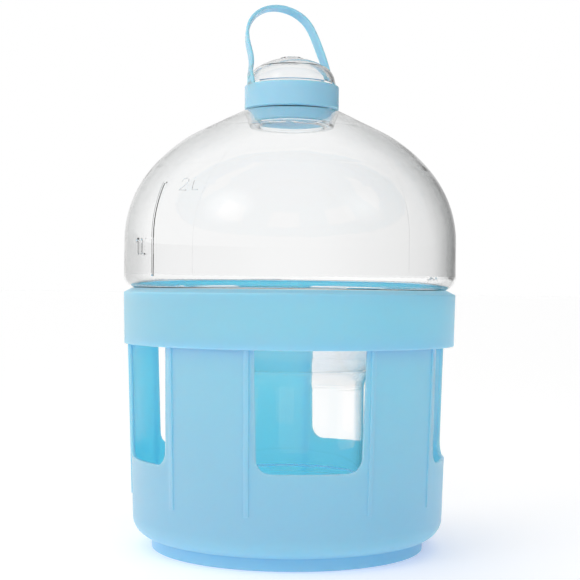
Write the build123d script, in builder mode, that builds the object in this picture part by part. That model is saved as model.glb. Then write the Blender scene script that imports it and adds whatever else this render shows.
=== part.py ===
from build123d import *
from math import atan2, cos, degrees, radians, sin, sqrt, tan
import os

os.makedirs("parts", exist_ok=True)

# A gravity drinker for pigeons and small poultry. A clear domed tank stands with its mouth down
# in a sky-blue base, and birds drink from the basin through five windows. A blue carry ring turns
# round the tank's knob, and a loop strap folds on it.
# Millimetres, +Z up, origin at the middle of the foot's underside. A window is centred on -Y.

# ---- base: one moulding, from the foot to the collar ----
foot_r = 81.6
foot_wall = 2.4
foot_height = 7.2
body_corner_r = 11.5        # rounds the body in to the foot
body_low_r = foot_r + body_corner_r
body_top_r = 96.3
body_wall = 2.0
ledge_z = 121.5             # underside of the ledge, and the windows' tops
ledge_thick = 3.0
ledge_inner_r = 88.0
collar_low_r = 99.3
collar_top_r = 100.0
collar_wall = 2.4
rim_z = 152.4               # outer edge of the collar's rim
lip_rise = 2.0              # the rim's lip rises inwards to this height above the outer edge
lip_inner_r = 94.2
lip_thick = 1.8
lip_chamfer = 0.8
lip_root_drop = 1.2         # how far the lip's underside falls outwards to the collar's wall
rim_round = 1.1

window_count = 5
window_top_width = 61.8
window_low_width = 58.0
window_sill_z = 54.5
window_corner_r = 8.5
rib_width = 2.6
rib_proud = 1.0
rib_low_z = 31.0
rib_angle = 21.2            # from the middle of each window to the ribs beside it

# ---- tank: one clear moulding, from the mouth to the knob ----
tank_wall = 1.4
mouth_z = 38.0
mouth_bead = 1.6            # the thick lip round the mouth
mouth_bead_height = 3.0
bead_bite = 0.2             # how far the lip's section runs into the neck's wall
neck_r = 46.0
shoulder_low_z = 103.0
shoulder_high_r = 85.6
neck_round = 14.0           # radius between the neck and the shoulder
shoulder_round = 8.0
seat_round = 3.0
seat_z = ledge_z + ledge_thick
spigot_r = 93.4             # the part that stands inside the collar
spigot_high_z = 153.9
tank_r = 100.0
tank_corner_r = 8.0
tank_low_z = 154.5
tank_corner_start = -72.0   # where the corner's arc leaves the spigot, in degrees
dome_low_z = 183.0
dome_side_r = 66.8          # the dome's side arc, then its shoulder arc, then a shallow cone
dome_side_angle = 38.4
dome_shoulder_r = 91.3
cone_slope = 26.4
well_r = 28.4               # the well in the cone's top, for the ring's sleeve
well_floor_r = 24.4
well_z = 254.4
well_top_z = 262.6          # where the well's flared wall would reach its full radius
knob_root_r = 21.4
knob_low_z = 277.7
knob_r = 26.2
knob_rise = 15.4
knob_shoulder_r = 11.0      # the knob's side arc, which its flatter top arc meets smoothly
knob_edge = 0.3             # the upright band under the knob's domed top

scale_angle = -147.5        # the volume scale's line, counted from +X
scale_width = 1.4
scale_proud = 0.6
scale_low_z = 161.0
scale_high_z = 214.0
scale_marks = (             # each mark's height, and how far it runs, clockwise if negative
    (182.6, -7.0),
    (scale_high_z, 2.5),
)
mark_height = 0.9

# ---- carry ring, turned 20 degrees on the knob, and its strap ----
ring_turn = 20.0
ring_r = 28.6
ring_wall = 2.2
ring_low_z = 263.2
ring_top_z = 277.3
ring_web = 1.8
ring_edge_round = 0.6
sleeve_high_r = 27.6        # the sleeve tapers from here down into the well
sleeve_low_r = 23.2
sleeve_inner_r = 22.0
sleeve_low_z = 255.6
sleeve_inner_low_z = 257.0
sleeve_inner_high_z = 264.6

hinge_z = 280.8
hinge_r = 27.8              # from the axis to the middle of each strap foot
ear_width = 4.0
ear_height = 1.0
strap_lean = 27.0           # how far the strap leans back at rest
strap_thick = 2.0
strap_edge_round = 0.4      # the corners' radius, as a share of the thickness


# ---------------------------------------------------------------- base
with BuildPart() as base:
    with BuildSketch(Plane.XZ):
        with BuildLine():
            foot_outside = Polyline((foot_r - foot_wall, 0), (foot_r, 0), (foot_r, foot_height))
            corner = CenterArc((foot_r, foot_height + body_corner_r), body_corner_r, -90, 90)
            body = Line(corner @ 1, (body_top_r, ledge_z))
            collar = Polyline(body @ 1, (collar_low_r, ledge_z), (collar_top_r, rim_z - rim_round))
            rim = CenterArc((collar_top_r - rim_round, rim_z - rim_round), rim_round, 0, 90)
            lip = Polyline(
                rim @ 1,
                (lip_inner_r + lip_chamfer, rim_z + lip_rise),
                (lip_inner_r, rim_z + lip_rise - lip_chamfer),
                (lip_inner_r, rim_z + lip_rise - lip_thick),
                (collar_top_r - collar_wall, rim_z - lip_thick - lip_root_drop),
            )
            collar_inside = Polyline(
                lip @ 1,
                (collar_low_r - collar_wall, seat_z),
                (ledge_inner_r, seat_z),
                (ledge_inner_r, ledge_z),
                (body_top_r - body_wall, ledge_z),
            )
            inner_corner = CenterArc(
                (foot_r, foot_height + body_corner_r), body_corner_r - body_wall, 0, -90
            )
            body_inside = Line(collar_inside @ 1, inner_corner @ 0)
            basin_floor = Line(inner_corner @ 1, (0, foot_height + body_wall))
            middle = Line(basin_floor @ 1, (0, foot_height))
            Polyline(middle @ 1, (foot_r - foot_wall, foot_height), foot_outside @ 0)
        make_face()
    revolve(axis=Axis.Z)
    for window in range(window_count):
        turn = window * 360 / window_count
        # the window's outline stands in the plane that faces the bird, and is cut towards the wall
        with BuildSketch(Plane.XZ.rotated((0, 0, turn))):
            with BuildLine():
                FilletPolyline(
                    (-window_top_width / 2, ledge_z),
                    (-window_low_width / 2, window_sill_z),
                    (window_low_width / 2, window_sill_z),
                    (window_top_width / 2, ledge_z),
                    radius=window_corner_r,
                )
                Line((window_top_width / 2, ledge_z), (-window_top_width / 2, ledge_z))
            make_face()
        extrude(amount=collar_top_r, mode=Mode.SUBTRACT)
        for side in (-1, 1):
            with BuildSketch(Plane.XZ.rotated((0, 0, turn - 90 + side * rib_angle))):
                Polygon(
                    (body_low_r - body_wall / 2, rib_low_z),
                    (body_low_r + rib_proud, rib_low_z),
                    (body_top_r + rib_proud, ledge_z),
                    (body_top_r - body_wall / 2, ledge_z),
                    align=None,
                )
            extrude(amount=rib_width / 2, both=True)
base.part.label = "base"
export_step(base.part, "parts/base.step")


# ---------------------------------------------------------------- tank
def dome_outline(offset):
    """The dome's side arc and shoulder arc, moved outwards by offset."""
    side_centre = Vector(tank_r - dome_side_r, dome_low_z)
    back = Vector(cos(radians(dome_side_angle)), sin(radians(dome_side_angle)))
    shoulder_centre = side_centre - back * (dome_shoulder_r - dome_side_r)
    side = CenterArc(side_centre, dome_side_r + offset, 0, dome_side_angle)
    shoulder = CenterArc(
        shoulder_centre,
        dome_shoulder_r + offset,
        dome_side_angle,
        90 - cone_slope - dome_side_angle,
    )
    return side, shoulder


def tank_section(inset):
    """The tank's half-section out to its skin, moved inwards by inset."""
    flare = (well_r - well_floor_r) / (well_top_z - well_z)
    floor_z = well_z - inset
    floor_r = well_floor_r + inset * (sqrt(1 + flare**2) - flare)
    knob_low = knob_low_z + inset
    cap_z = knob_low_z + tank_wall + knob_edge
    side_centre_r = knob_r - knob_shoulder_r
    crown_r = (knob_shoulder_r**2 - side_centre_r**2 - knob_rise**2) / 2
    crown_r /= knob_shoulder_r - knob_rise
    meeting = degrees(atan2(crown_r - knob_rise, side_centre_r))
    with BuildSketch(Plane.XZ) as section:
        with BuildLine():
            mouth = Line((0, mouth_z), (neck_r - inset, mouth_z))
            wall = FilletPolyline(
                mouth @ 1,
                (neck_r - inset, shoulder_low_z + inset),
                (shoulder_high_r, seat_z + inset),
                (spigot_r - inset, seat_z + inset),
                (spigot_r - inset, spigot_high_z + inset),
                radius=[neck_round, shoulder_round, seat_round - inset],
            )
            corner = CenterArc(
                (tank_r - tank_corner_r, tank_low_z + tank_corner_r),
                tank_corner_r - inset,
                tank_corner_start,
                -tank_corner_start,
            )
            Line(wall @ 1, corner @ 0)
            side, shoulder = dome_outline(-inset)
            Line(corner @ 1, side @ 0)
            cone = shoulder @ 1
            slope = tan(radians(cone_slope))
            well_top = cone.Y + (cone.X - floor_r + flare * floor_z) * slope
            well_top /= 1 + flare * slope
            Polyline(
                cone,
                (floor_r + flare * (well_top - floor_z), well_top),
                (floor_r, floor_z),
                (knob_root_r - inset, floor_z),
                (knob_root_r - inset, knob_low),
                (knob_r - inset, knob_low),
                (knob_r - inset, cap_z),
            )
            CenterArc((side_centre_r, cap_z), knob_shoulder_r - inset, 0, meeting)
            cap = CenterArc(
                (0, cap_z + knob_rise - crown_r), crown_r - inset, meeting, 90 - meeting
            )
            Line(cap @ 1, mouth @ 0)
        make_face()
    return section.sketch


def scale_band(low_z, high_z, arc, middle):
    """A raised band on the tank's skin between two heights, arc degrees wide."""
    with BuildPart() as band:
        with BuildSketch(Plane.XZ):
            with BuildLine():
                outer_side, outer_shoulder = dome_outline(scale_proud)
                inner_side, inner_shoulder = dome_outline(-tank_wall / 2)
                Line(outer_shoulder @ 1, inner_shoulder @ 1)
                Polyline(
                    outer_side @ 0,
                    (tank_r + scale_proud, scale_low_z),
                    (tank_r - tank_wall / 2, scale_low_z),
                    inner_side @ 0,
                )
            make_face()
            with Locations((tank_r / 2, (low_z + high_z) / 2)):
                Rectangle(2 * tank_r, high_z - low_z, mode=Mode.INTERSECT)
        revolve(axis=Axis.Z, revolution_arc=arc)
    return band.part.rotate(Axis.Z, middle - arc / 2)


with BuildPart() as tank:
    add(tank_section(0))
    revolve(axis=Axis.Z)
    add(tank_section(tank_wall))
    revolve(axis=Axis.Z, mode=Mode.SUBTRACT)
    with BuildSketch(Plane.XZ):
        Polygon(
            (neck_r - bead_bite, mouth_z),
            (neck_r + mouth_bead, mouth_z),
            (neck_r + mouth_bead, mouth_z + mouth_bead_height),
            (neck_r - bead_bite, mouth_z + mouth_bead_height + mouth_bead),
            align=None,
        )
    revolve(axis=Axis.Z)
    add(scale_band(scale_low_z, scale_high_z, degrees(scale_width / tank_r), scale_angle))
    for mark_z, mark_length in scale_marks:
        mark_arc = degrees(mark_length / tank_r)
        mark_middle = scale_angle + mark_arc / 2
        add(scale_band(mark_z - mark_height, mark_z, abs(mark_arc), mark_middle))
tank.part.label = "tank"
export_step(tank.part, "parts/tank.step")

# ---------------------------------------------------------------- carry ring
with BuildPart() as carry_ring:
    with BuildSketch(Plane.XZ):
        with BuildLine():
            Polyline(
                (sleeve_inner_r, sleeve_low_z),
                (sleeve_low_r, sleeve_low_z),
                (sleeve_high_r, ring_low_z),
                (ring_r, ring_low_z),
                (ring_r, ring_top_z),
                (sleeve_inner_r, ring_top_z),
                (sleeve_inner_r, ring_top_z - ring_web),
                (ring_r - ring_wall, ring_top_z - ring_web),
                (ring_r - ring_wall, sleeve_inner_high_z),
                (sleeve_inner_r, sleeve_inner_low_z),
                close=True,
            )
        make_face()
    revolve(axis=Axis.Z)
    rims = carry_ring.edges().filter_by(GeomType.CIRCLE)
    rims = rims.filter_by(lambda edge: edge.radius > (sleeve_high_r + ring_r) / 2)
    fillet(rims, ring_edge_round)
    with BuildSketch(Plane.XY.offset(ring_top_z)):
        with PolarLocations(hinge_r, 2, start_angle=ring_turn):
            Rectangle(2 * (ring_r - hinge_r), ear_width)
    extrude(amount=ear_height)
carry_ring.part.label = "carry_ring"
export_step(carry_ring.part, "parts/carry_ring.step")

# ---------------------------------------------------------------- strap
# The loop is drawn upright across the ring. Each station is (across, up from the hinge line,
# width, twist), and the twist turns the strap's flat round its own length, in degrees.
strap_stations = (
    (-28.0, 0.2, 3.4, 0.0),
    (-27.3, 4.0, 4.2, 0.0),
    (-25.8, 8.6, 5.0, 0.0),
    (-24.6, 14.0, 5.4, -4.0),
    (-24.4, 25.4, 6.0, -12.0),
    (-22.9, 34.5, 6.0, -17.0),
    (-15.1, 47.3, 6.0, -8.0),
    (-2.7, 54.4, 6.0, 4.0),
    (9.9, 54.3, 6.0, 4.0),
    (19.4, 47.9, 6.0, -4.0),
    (24.1, 33.6, 6.0, -11.0),
    (25.9, 18.5, 6.0, -8.0),
    (27.0, 8.0, 5.0, 0.0),
    (28.0, 0.2, 3.4, 0.0),
)
with BuildPart() as strap:
    with BuildLine(mode=Mode.PRIVATE):
        middle_line = Spline(*[(across, 0, up) for across, up, width, twist in strap_stations])
    for across, up, width, twist in strap_stations:
        along = middle_line % middle_line.param_at_point((across, 0, up))
        flat = Vector(0, -1, 0).rotate(Axis((0, 0, 0), along), twist)
        with BuildSketch(Plane(origin=(across, 0, up), x_dir=flat, z_dir=along)):
            RectangleRounded(width, strap_thick, strap_thick * strap_edge_round)
    sweep(path=middle_line, multisection=True)
leaned = Pos(0, 0, hinge_z) * Rot(0, 0, ring_turn) * Rot(-strap_lean, 0, 0) * strap.part
leaned.label = "strap"
export_step(leaned, "parts/strap.step")
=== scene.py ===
import math

import bmesh
import bpy
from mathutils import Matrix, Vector
from mathutils.bvhtree import BVHTree


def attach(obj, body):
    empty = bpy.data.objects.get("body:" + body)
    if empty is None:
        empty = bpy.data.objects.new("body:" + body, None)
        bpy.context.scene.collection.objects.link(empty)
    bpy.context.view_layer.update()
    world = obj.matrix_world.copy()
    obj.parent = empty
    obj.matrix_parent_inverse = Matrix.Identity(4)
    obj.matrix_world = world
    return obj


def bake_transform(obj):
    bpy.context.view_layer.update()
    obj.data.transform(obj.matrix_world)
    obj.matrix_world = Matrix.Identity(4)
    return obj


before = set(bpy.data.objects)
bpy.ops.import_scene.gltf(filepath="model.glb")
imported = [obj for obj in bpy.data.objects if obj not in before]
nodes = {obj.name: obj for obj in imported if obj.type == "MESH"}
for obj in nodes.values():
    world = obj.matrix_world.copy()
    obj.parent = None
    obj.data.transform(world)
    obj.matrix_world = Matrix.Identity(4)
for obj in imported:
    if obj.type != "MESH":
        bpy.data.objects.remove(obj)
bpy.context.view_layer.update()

# A gravity drinker for pigeons and small poultry: a clear domed tank stands mouth down in a
# sky-blue base with five drinking windows, and a blue carry ring with a loop strap turns on its
# knob. Metres, +Z up, origin at the middle of the foot's underside.

MM = 0.001


# ------------------------------------------------------------------ camera
VIEW_TURN = math.radians(-7.5)      # the camera stands this far round from straight in front
CAMERA_DISTANCE = 0.803
CAMERA_HEIGHT = 0.154               # level with the collar's rim
CAMERA_ASIDE = 0.0002
CAMERA_ROLL = math.radians(-0.64)
CAMERA_LENS = 82.03
SENSOR_WIDTH = 36


def place_camera():
    """A level camera in front, which sees the drinker from top to foot."""
    data = bpy.data.cameras.new("camera")
    data.lens = CAMERA_LENS
    data.sensor_width = SENSOR_WIDTH
    camera = bpy.data.objects.new("camera", data)
    back = Vector((math.sin(VIEW_TURN), -math.cos(VIEW_TURN), 0))
    aside = Vector((math.cos(VIEW_TURN), math.sin(VIEW_TURN), 0))
    camera.location = back * CAMERA_DISTANCE + aside * CAMERA_ASIDE
    camera.location.z = CAMERA_HEIGHT
    camera.rotation_euler = (math.radians(90), CAMERA_ROLL, VIEW_TURN)
    bpy.context.scene.collection.objects.link(camera)
    bpy.context.scene.camera = camera


place_camera()


# ------------------------------------------------------------------ small helpers
def linear(hex_colour):
    """An sRGB hex colour as linear red, green, blue and an alpha of 1."""
    values = [int(hex_colour[i:i + 2], 16) / 255 for i in (0, 2, 4)]
    return [v / 12.92 if v <= 0.04045 else ((v + 0.055) / 1.055) ** 2.4 for v in values] + [1.0]


def add_node(tree, kind, settings=None, **sockets):
    """Adds a node, sets its properties, and sets or links its sockets by name."""
    node = tree.nodes.new(kind)
    for name, value in (settings or {}).items():
        setattr(node, name, value)
    for name, value in sockets.items():
        socket = node.inputs[name.replace("_", " ")]
        if isinstance(value, bpy.types.NodeSocket):
            tree.links.new(value, socket)
        else:
            socket.default_value = value
    return node


def new_material(name):
    material = bpy.data.materials.new(name)
    material.use_nodes = True
    material.node_tree.nodes.clear()
    return material


def join_rings(build, rings):
    """Skins the space between neighbouring rings of corners and closes both ends."""
    for near, far in zip(rings, rings[1:]):
        for step in range(len(near)):
            following = (step + 1) % len(near)
            build.faces.new((near[step], near[following], far[following], far[step]))
    build.faces.new(rings[0])
    build.faces.new(rings[-1])


def new_piece(name, build, material, body=None):
    """Makes a smooth-shaded piece from a bmesh. It rides on a body when one is given."""
    mesh = bpy.data.meshes.new(name)
    bmesh.ops.recalc_face_normals(build, faces=build.faces)
    build.to_mesh(mesh)
    build.free()
    mesh.materials.append(material)
    mesh.shade_smooth()
    piece = bpy.data.objects.new(name, mesh)
    bpy.context.scene.collection.objects.link(piece)
    if body:
        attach(piece, body)
    return piece


# ------------------------------------------------------------------ materials
def polypropylene(name, depth, roughness, dark, light):
    """Sky-blue polypropylene, injection moulded: milky right through, with a soft satin gloss.

    Light travels up to depth metres inside it, so that thin walls glow when lit from behind."""
    material = new_material(name)
    tree = material.node_tree
    place = add_node(tree, "ShaderNodeTexCoord").outputs["Object"]

    # flow of the melt: broad, faint clouds about 60 mm across
    flow = add_node(tree, "ShaderNodeTexNoise", Vector=place, Scale=16.0, Detail=3.0)
    colour = add_node(tree, "ShaderNodeMix", {"data_type": "RGBA"}, Factor=flow.outputs["Fac"])
    colour.inputs["A"].default_value = linear(dark)
    colour.inputs["B"].default_value = linear(light)

    # the mould's spark-eroded skin has a 0.1 mm grain, drawn at 0.8 mm so that it shows
    skin = add_node(tree, "ShaderNodeTexNoise", Vector=place, Scale=1250.0, Detail=2.0)
    # handling marks: faint upright rubs that only dull the gloss
    stretched = add_node(tree, "ShaderNodeMapping", Vector=place, Scale=(260, 260, 24))
    rub = add_node(tree, "ShaderNodeTexNoise", Vector=stretched.outputs[0], Scale=1.0, Detail=4.0)
    rough = add_node(
        tree, "ShaderNodeMapRange", Value=rub.outputs["Fac"],
        From_Min=0.3, From_Max=0.7, To_Min=roughness, To_Max=roughness + 0.02,
    )
    # every moulded edge is slightly rounded and catches a thin pale line of light
    edge = add_node(tree, "ShaderNodeBevel", {"samples": 4}, Radius=0.7 * MM)
    bump = add_node(
        tree, "ShaderNodeBump", Height=skin.outputs["Fac"], Strength=0.12, Distance=0.1 * MM,
        Normal=edge.outputs["Normal"],
    )
    shader = add_node(
        tree, "ShaderNodeBsdfPrincipled",
        Base_Color=colour.outputs["Result"], Roughness=rough.outputs["Result"], IOR=1.49,
        Subsurface_Weight=1.0, Subsurface_Radius=(0.35, 0.85, 1.0),
        Subsurface_Scale=depth, Normal=bump.outputs["Normal"],
    )
    add_node(tree, "ShaderNodeOutputMaterial", Surface=shader.outputs["BSDF"])
    return material


def clear_polyester():
    """Clear polyester, blow moulded: glossy and colourless, with painted grey shade at its edges
    and slow ripples.
    """
    material = new_material("clear_polyester")
    tree = material.node_tree
    place = add_node(tree, "ShaderNodeTexCoord").outputs["Object"]
    # painted shade: the base colour is colourless square on and turns grey towards the edges,
    # where the wall is seen at a grazing angle
    edge = add_node(tree, "ShaderNodeLayerWeight", Blend=0.5)
    edge_painted_shade = add_node(tree, "ShaderNodeValToRGB", Fac=edge.outputs["Facing"])
    edge_painted_shade.color_ramp.elements[0].position = 0.5
    edge_painted_shade.color_ramp.elements[0].color = (0.995, 0.997, 0.997, 1)
    edge_painted_shade.color_ramp.elements[1].position = 1.0
    edge_painted_shade.color_ramp.elements[1].color = (0.42, 0.44, 0.44, 1)
    # a blown wall is never quite even: slow ripples about 25 mm apart
    ripple = add_node(tree, "ShaderNodeTexNoise", Vector=place, Scale=40.0, Detail=1.0)
    bump = add_node(
        tree, "ShaderNodeBump", Height=ripple.outputs["Fac"], Strength=0.25, Distance=0.6 * MM
    )
    # wiping marks: fine dull streaks that only show in the gloss
    stretched = add_node(tree, "ShaderNodeMapping", Vector=place, Scale=(30, 30, 300))
    wipe = add_node(tree, "ShaderNodeTexNoise", Vector=stretched.outputs[0], Scale=1.0, Detail=5.0)
    rough = add_node(
        tree, "ShaderNodeMapRange", Value=wipe.outputs["Fac"],
        From_Min=0.55, From_Max=0.8, To_Min=0.01, To_Max=0.06,
    )
    shader = add_node(
        tree, "ShaderNodeBsdfPrincipled",
        Base_Color=edge_painted_shade.outputs["Color"], Roughness=rough.outputs["Result"], IOR=1.45,
        Transmission_Weight=1.0, Specular_Tint=(0.5, 0.5, 0.5, 1), Normal=bump.outputs["Normal"],
    )
    # lamps and bounced light go straight through, as they very nearly do in a thin clear wall
    path = add_node(tree, "ShaderNodeLightPath")
    either = add_node(tree, "ShaderNodeMath", {"operation": "MAXIMUM"})
    tree.links.new(path.outputs["Is Shadow Ray"], either.inputs[0])
    tree.links.new(path.outputs["Is Diffuse Ray"], either.inputs[1])
    passing = add_node(tree, "ShaderNodeBsdfTransparent", Color=(1, 1, 1, 1))
    mixed = add_node(tree, "ShaderNodeMixShader", Fac=either.outputs[0])
    tree.links.new(shader.outputs[0], mixed.inputs[1])
    tree.links.new(passing.outputs[0], mixed.inputs[2])
    add_node(tree, "ShaderNodeOutputMaterial", Surface=mixed.outputs[0])
    return material


def white_sheet():
    """Matt white sheet, lit a little from beneath so that it stays plain white."""
    material = new_material("white_sheet")
    tree = material.node_tree
    shader = add_node(
        tree, "ShaderNodeBsdfPrincipled", Base_Color=linear("F7F7F7"), Roughness=0.9,
        Emission_Color=(1, 1, 1, 1), Emission_Strength=0.3,
    )
    add_node(tree, "ShaderNodeOutputMaterial", Surface=shader.outputs["BSDF"])
    return material


blue = polypropylene(
    "sky_blue_polypropylene", depth=18 * MM, roughness=0.34, dark="8DC4FA", light="95C9FC"
)
# the ring and strap are a softer grade, a little greyer and glossier
soft_blue = polypropylene(
    "sky_blue_soft_polypropylene", depth=3 * MM, roughness=0.2, dark="9ED0E4", light="A6D6E9"
)
clear = clear_polyester()
for name, material in (
    ("base", blue), ("carry_ring", soft_blue), ("strap", soft_blue), ("tank", clear)
):
    nodes[name].data.materials.clear()
    nodes[name].data.materials.append(material)


# ------------------------------------------------------------------ strap feet
RING_TURN = math.radians(20)
STRAP_LEAN = math.radians(27)
HINGE_Z = 280.8
HINGE_ACROSS = 27.8
FOOT_SIDES = 24
RIGHT_FOOT_WIDER = 0.55             # the strap's right end stands this much further out
# Each station of a foot, in mm, is (across, up from the hinge line, share of the strap's lean,
# width, thickness). The foot grows out of the ring's wall, is thinnest at the hinge line and
# takes in the strap's end.
FOOT_STATIONS = (
    (27.5, -5.0, 0.0, 8.8, 1.9),
    (27.6, -3.4, 0.0, 8.8, 2.0),
    (27.75, -1.8, 0.2, 8.1, 1.9),
    (27.9, 0.0, 0.6, 7.0, 1.8),
    (27.75, 2.2, 1.0, 6.0, 2.1),
    (27.1, 4.8, 1.0, 5.2, 2.2),
    (26.4, 6.8, 1.0, 4.9, 2.1),
    (26.0, 8.0, 1.0, 4.6, 1.8),
)


def strap_foot(name, side):
    """One flexible foot, on the side of the ring that side (-1 or 1) gives."""
    build = bmesh.new()
    rings = []
    for across, up, share, width, thick in FOOT_STATIONS:
        if side > 0 and up > 4:
            across += RIGHT_FOOT_WIDER
        lean = STRAP_LEAN * share
        middle = Vector((side * across, up * math.sin(lean), HINGE_Z + up * math.cos(lean)))
        wide = Vector((0, math.cos(lean), -math.sin(lean)))
        ring = []
        for step in range(FOOT_SIDES):
            turn = 2 * math.pi * step / FOOT_SIDES
            # a rounded rectangle: the fourth-power oval
            c = math.copysign(abs(math.cos(turn)) ** 0.5, math.cos(turn))
            s = math.copysign(abs(math.sin(turn)) ** 0.5, math.sin(turn))
            point = middle + wide * (c * width / 2) + Vector((s * thick / 2, 0, 0))
            x = point.x * math.cos(RING_TURN) - point.y * math.sin(RING_TURN)
            y = point.x * math.sin(RING_TURN) + point.y * math.cos(RING_TURN)
            ring.append(build.verts.new((x * MM, y * MM, point.z * MM)))
        rings.append(ring)
    join_rings(build, rings)
    piece = new_piece(name, build, soft_blue)
    smooth = piece.modifiers.new("smooth", "SUBSURF")
    smooth.levels = 2
    smooth.render_levels = 2
    x = side * HINGE_ACROSS * math.cos(RING_TURN) * MM
    y = side * HINGE_ACROSS * math.sin(RING_TURN) * MM
    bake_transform(piece)


strap_foot("strap_foot_left", -1)
strap_foot("strap_foot_right", 1)


# ------------------------------------------------------------------ small moulding marks
BEAD_SIDES = 8
STROKE_STEPS = 6                    # points on each straight run of a stroke
BOLD = 0.6 * MM
FAINT = 0.2 * MM
SEAM = 0.08 * MM
SEAM_LOW_Z = 164
SEAM_STEP = 8
SCAR_POINTS = 41
STUB_SIDES = 28
tank_skin = BVHTree.FromObject(nodes["tank"], bpy.context.evaluated_depsgraph_get())
base_skin = BVHTree.FromObject(nodes["base"], bpy.context.evaluated_depsgraph_get())


def on_tank(angle, z):
    """The point of the tank's outer skin at an angle in degrees and a height in mm."""
    out = Vector((math.cos(math.radians(angle)), math.sin(math.radians(angle)), 0))
    start = out * 0.2 + Vector((0, 0, z * MM))
    return tank_skin.ray_cast(start, -out)[0]


def bead(build, points, radius):
    """A round bead of plastic along a line of points, tapering at both ends."""
    rings = []
    count = len(points)
    for index, point in enumerate(points):
        ahead = points[min(index + 1, count - 1)] - points[max(index - 1, 0)]
        ahead.normalize()
        outward = Vector((point.x, point.y, 0.3 * point.z)).normalized()
        across = ahead.cross(outward).normalized()
        up = across.cross(ahead).normalized()
        size = radius * (0.35 if index in (0, count - 1) else 1.0)
        ring = []
        for step in range(BEAD_SIDES):
            turn = 2 * math.pi * step / BEAD_SIDES
            offset = across * math.cos(turn) + up * math.sin(turn)
            ring.append(build.verts.new(point + offset * size))
        rings.append(ring)
    join_rings(build, rings)


def stroke(build, corners, radius):
    """A raised stroke on the tank through corners given as (angle, height)."""
    points = []
    for (a0, z0), (a1, z1) in zip(corners, corners[1:]):
        for step in range(STROKE_STEPS):
            share = step / STROKE_STEPS
            points.append(on_tank(a0 + (a1 - a0) * share, z0 + (z1 - z0) * share))
    points.append(on_tank(*corners[-1]))
    bead(build, points, radius)


def volume_numbers():
    """Plain raised numbers beside the scale: 1 L by the lower mark and 2 L by the upper."""
    build = bmesh.new()
    stroke(build, ((-158.9, 180.4), (-157.3, 182.6), (-157.1, 173.2)), BOLD)
    stroke(build, ((-154.6, 182.6), (-154.5, 173.4), (-152.2, 173.3)), BOLD)
    two = [(-138.2, 213.6), (-137.4, 215.0), (-136.2, 215.4), (-135.2, 214.6)]
    two += [(-135.0, 213.4), (-135.9, 211.6), (-138.2, 208.6), (-134.8, 208.4)]
    stroke(build, two, FAINT)
    stroke(build, ((-132.6, 215.4), (-132.3, 208.5), (-129.8, 208.3)), FAINT)
    new_piece("volume_numbers", build, clear, "reservoir")


def mould_seam(name, angle):
    """The fine line where the two halves of the blow mould met."""
    build = bmesh.new()
    stroke(build, [(angle, SEAM_LOW_Z + SEAM_STEP * step) for step in range(11)], SEAM)
    new_piece(name, build, clear, "reservoir")


def pinch_scar():
    """The cut-off scar on top of the knob: a small uneven ring of plastic."""
    build = bmesh.new()
    points = []
    for step in range(SCAR_POINTS):
        turn = 2 * math.pi * step / (SCAR_POINTS - 1)
        wave = 1 + 0.12 * math.sin(3 * turn) + 0.08 * math.sin(7 * turn + 1)
        x = (5.6 * wave * math.cos(turn) - 0.5) * MM
        y = (4.6 * wave * math.sin(turn) - 3.0) * MM
        points.append(tank_skin.ray_cast(Vector((x, y, 0.4)), Vector((0, 0, -1)))[0])
    bead(build, points, BOLD)
    new_piece("knob_pinch_scar", build, clear, "reservoir")


def gate_stub():
    """The trimmed gate under the middle of the base: a short stub with a torn end."""
    build = bmesh.new()
    under = base_skin.ray_cast(Vector((0, 0, -0.1)), Vector((0, 0, 1)))[0].z
    outline = ((2.6, 0.1), (2.6, -0.25), (2.35, -0.5), (1.5, -0.42), (0.9, -0.62), (0.3, -0.5))
    rings = []
    for r, z in outline:
        ring = []
        for step in range(STUB_SIDES):
            turn = 2 * math.pi * step / STUB_SIDES
            torn = 0.08 * math.sin(5 * turn) if r < 2 else 0.0
            x = r * MM * math.cos(turn)
            y = r * MM * math.sin(turn)
            ring.append(build.verts.new((x, y, under + (z + torn) * MM)))
        rings.append(ring)
    join_rings(build, rings)
    new_piece("gate_stub", build, blue, "stand")


volume_numbers()
mould_seam("mould_seam_front", -56.5)
mould_seam("mould_seam_back", 123.5)
pinch_scar()
gate_stub()


# ------------------------------------------------------------------ floor, light and air
FLOOR_RADIUS = 60.0                 # so wide that it ends in the white air
FLOOR_DROP = 0.3 * MM
AIM_Z = 0.17                        # the lamps point at the middle of the drinker


def lay_floor():
    """A plain white floor just under the foot."""
    mesh = bpy.data.meshes.new("floor")
    build = bmesh.new()
    bmesh.ops.create_circle(build, cap_ends=True, segments=96, radius=FLOOR_RADIUS)
    build.to_mesh(mesh)
    build.free()
    mesh.materials.append(white_sheet())
    floor = bpy.data.objects.new("floor", mesh)
    floor.location.z = -FLOOR_DROP
    bpy.context.scene.collection.objects.link(floor)


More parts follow.
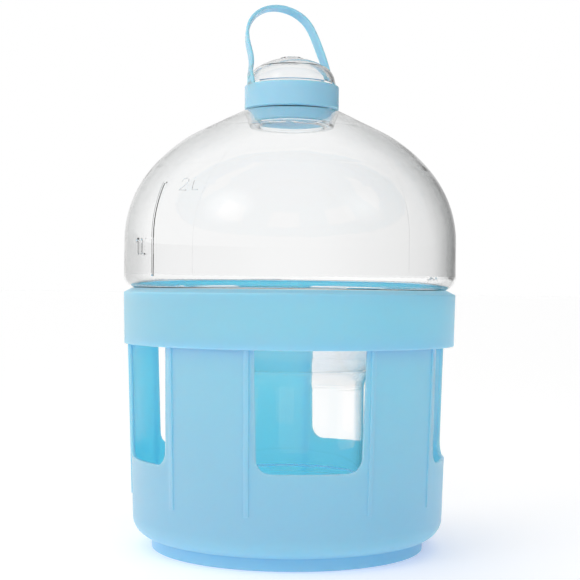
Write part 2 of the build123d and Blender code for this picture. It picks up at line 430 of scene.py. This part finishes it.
def softbox(name, turn, height_angle, distance, size, power):
    """A soft lamp aimed at the tank, turn degrees right of the camera, fading to its edge."""
    data = bpy.data.lights.new(name, "AREA")
    data.shape = "DISK"
    data.size = size
    data.energy = power
    data.use_nodes = True
    tree = data.node_tree
    tree.nodes.clear()
    spot = add_node(tree, "ShaderNodeNewGeometry").outputs["Parametric"]
    centred = add_node(
        tree, "ShaderNodeMapping", Vector=spot, Location=(-1, -1, 0), Scale=(2, 2, 0)
    )
    fade = add_node(
        tree, "ShaderNodeTexGradient", {"gradient_type": "SPHERICAL"}, Vector=centred.outputs[0]
    )
    glow = add_node(tree, "ShaderNodeEmission", Color=(1, 1, 1, 1), Strength=fade.outputs["Fac"])
    add_node(tree, "ShaderNodeOutputLight", Surface=glow.outputs[0])
    light = bpy.data.objects.new(name, data)
    a = VIEW_TURN + math.radians(turn)
    e = math.radians(height_angle)
    away = Vector((math.sin(a) * math.cos(e), -math.cos(a) * math.cos(e), math.sin(e)))
    light.location = Vector((0, 0, AIM_Z)) + away * distance
    light.rotation_euler = away.to_track_quat("Z", "Y").to_euler()
    bpy.context.scene.collection.objects.link(light)


def light_air():
    """White light from all round, as in a tent with a dark cloth on its right."""
    world = bpy.data.worlds.new("tent")
    world.use_nodes = True
    tree = world.node_tree
    tree.nodes.clear()
    direction = add_node(tree, "ShaderNodeTexCoord").outputs["Generated"]
    aside = add_node(tree, "ShaderNodeSeparateXYZ", Vector=direction).outputs["X"]
    strength = add_node(
        tree, "ShaderNodeMapRange", {"interpolation_type": "SMOOTHSTEP"}, Value=aside,
        From_Min=0.1, From_Max=0.85, To_Min=0.93, To_Max=0.05,
    )
    sight = add_node(tree, "ShaderNodeLightPath").outputs["Is Camera Ray"]
    tent = add_node(
        tree, "ShaderNodeBackground", Color=(1, 1, 1, 1), Strength=strength.outputs["Result"]
    )
    seen = add_node(tree, "ShaderNodeBackground", Color=(1, 1, 1, 1), Strength=1.0)
    mixed = add_node(tree, "ShaderNodeMixShader", Fac=sight)
    tree.links.new(tent.outputs[0], mixed.inputs[1])
    tree.links.new(seen.outputs[0], mixed.inputs[2])
    add_node(tree, "ShaderNodeOutputWorld", Surface=mixed.outputs[0])
    bpy.context.scene.world = world


lay_floor()
softbox("key", turn=-44, height_angle=28, distance=1.1, size=0.7, power=3.4)
softbox("fill", turn=52, height_angle=28, distance=1.2, size=0.7, power=2.0)
light_air()
bpy.context.scene.view_settings.view_transform = "Standard"
